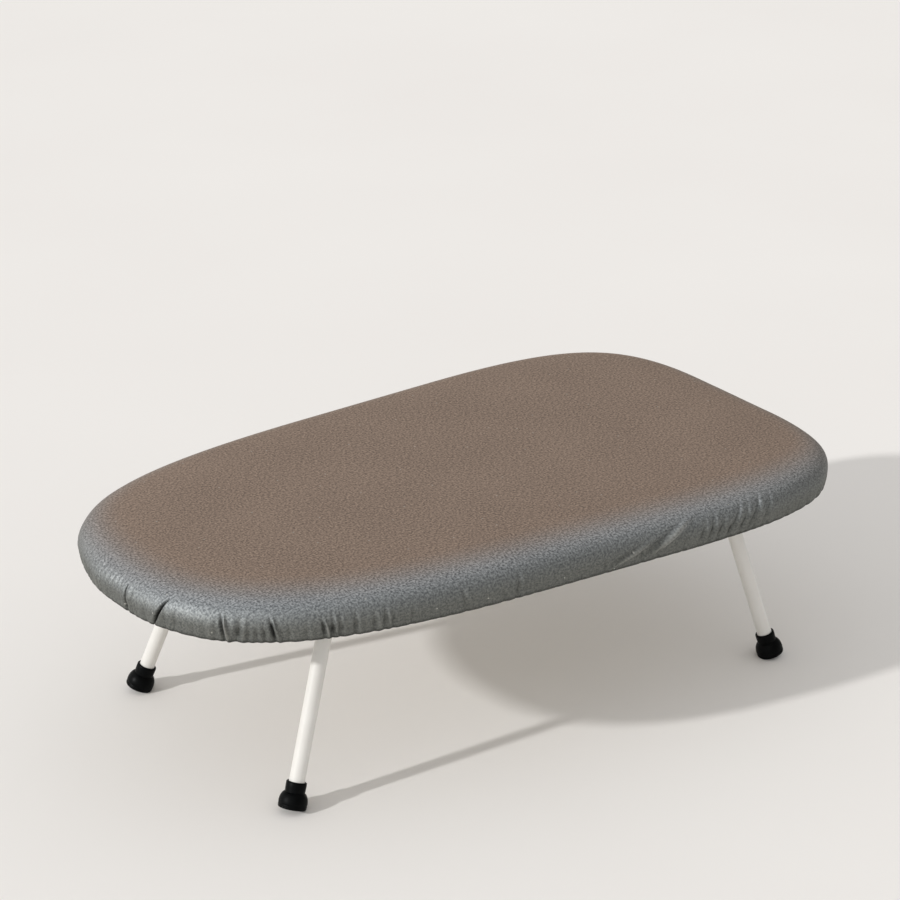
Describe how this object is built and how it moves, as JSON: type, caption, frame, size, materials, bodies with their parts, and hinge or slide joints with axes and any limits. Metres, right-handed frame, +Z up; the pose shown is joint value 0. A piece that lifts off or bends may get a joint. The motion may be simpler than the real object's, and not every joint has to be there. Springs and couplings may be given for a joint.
{
  "type": "tabletop ironing board",
  "caption": "Low tabletop ironing board with a rounded nose, a padded top under a gathered grey cloth cover, and white tube legs with black rubber feet that fold flat under it.",
  "frame": {"origin": "on the table, under the middle of the board's outline", "axes": "+X towards the wide tail end, the rounded nose at -X, +Y across the board, +Z up"},
  "size_m": [0.6, 0.3572, 0.1756],
  "materials": {
    "cover_cloth": "fine speckled woven cloth with a dull metallised face",
    "felt": "needled felt pad",
    "elastic": "woven flat elastic",
    "white_coat": "satin white powder coat on steel",
    "nylon": "moulded black nylon",
    "zinc_steel": "zinc plated steel",
    "rubber": "moulded black rubber, matte with a soft sheen"
  },
  "bodies": {
    "board": {"cover": "cover_cloth", "pad": "felt", "mesh_top": "white_coat", "rim_frame": "white_coat", "hem_elastic": "elastic", "nose_cross_rail": "white_coat", "bush_nose_left": "nylon", "bush_nose_right": "nylon", "strap_nose_left": "zinc_steel", "strap_nose_right": "zinc_steel", "rivet_nose_left_outer": "zinc_steel", "rivet_nose_left_inner": "zinc_steel", "rivet_nose_right_outer": "zinc_steel", "rivet_nose_right_inner": "zinc_steel", "tail_cross_rail": "white_coat", "bush_tail_left": "nylon", "bush_tail_right": "nylon", "strap_tail_left": "zinc_steel", "strap_tail_right": "zinc_steel", "rivet_tail_left_outer": "zinc_steel", "rivet_tail_left_inner": "zinc_steel", "rivet_tail_right_outer": "zinc_steel", "rivet_tail_right_inner": "zinc_steel"},
    "nose_leg_frame": {"nose_leg": "white_coat", "foot_nose_left": "rubber", "foot_nose_right": "rubber"},
    "tail_leg_frame": {"tail_leg": "white_coat", "foot_tail_left": "rubber", "foot_tail_right": "rubber"}
  },
  "joints": [
    {"name": "nose_leg_fold", "type": "hinge", "parent": "board", "child": "nose_leg_frame", "pos_m": [-0.166, 0, 0.1515], "axis": [0, -1, 0], "range_deg": [0, 110.4]},
    {"name": "tail_leg_fold", "type": "hinge", "parent": "board", "child": "tail_leg_frame", "pos_m": [0.1928, 0, 0.1515], "axis": [0, 1, 0], "range_deg": [0, 104.4]}
  ]
}
